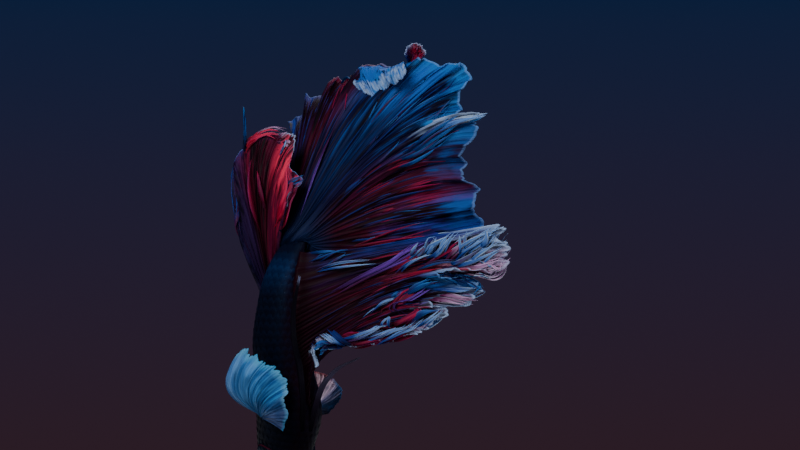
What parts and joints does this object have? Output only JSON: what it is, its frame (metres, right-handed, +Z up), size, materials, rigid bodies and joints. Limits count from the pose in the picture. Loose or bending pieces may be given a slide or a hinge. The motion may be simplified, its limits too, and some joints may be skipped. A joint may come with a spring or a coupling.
{
  "type": "betta fish",
  "caption": "Life-size model of a long-finned betta fish, head down with spread fins, held over a round base by short brass rods.",
  "frame": {"origin": "middle of the underside of the stand's base", "axes": "+Z up, from the fish's snout to its tail; +X to the side that the belly and the anal fin turn to; -Y towards the left flank"},
  "size_m": [0.0635, 0.06, 0.0923],
  "materials": {
    "skin": "wet scaled skin, near-black navy with a blue sheen",
    "gill_cover": "smooth wet plate, navy with a turquoise sheen",
    "eye": "clear domed eye, black pupil in a thin blue and gold ring",
    "tail_fin": "thin ribbed fin, indigo and maroon rays to steel blue, pale frayed margin",
    "anal_fin": "thin ribbed fin, maroon and navy with white frayed margin",
    "dorsal_fin": "thin ribbed fin, red and violet with pale tips",
    "pectoral_fin": "thin ribbed fin, pale sky blue",
    "pelvic_fin": "narrow ribbon fin, dark red with a white tip",
    "base": "dark stained hardwood, satin lacquer",
    "brass": "turned brass, softly polished"
  },
  "bodies": {
    "root": {"head": "skin", "lower_jaw": "skin", "gill_cover_left": "gill_cover", "gill_cover_right": "gill_cover", "eye_left": "eye", "eye_right": "eye", "trunk_front": "skin", "trunk_rear": "skin", "tail_root": "skin", "tail_fin": "tail_fin", "anal_fin": "anal_fin", "dorsal_fin": "dorsal_fin", "pectoral_fin_left": "pectoral_fin", "pectoral_fin_right": "pectoral_fin", "pelvic_fin_left": "pelvic_fin", "pelvic_fin_right": "pelvic_fin", "stand_base": "base", "stand_rod_nape": "brass", "stand_rod_throat": "brass"}
  },
  "joints": []
}
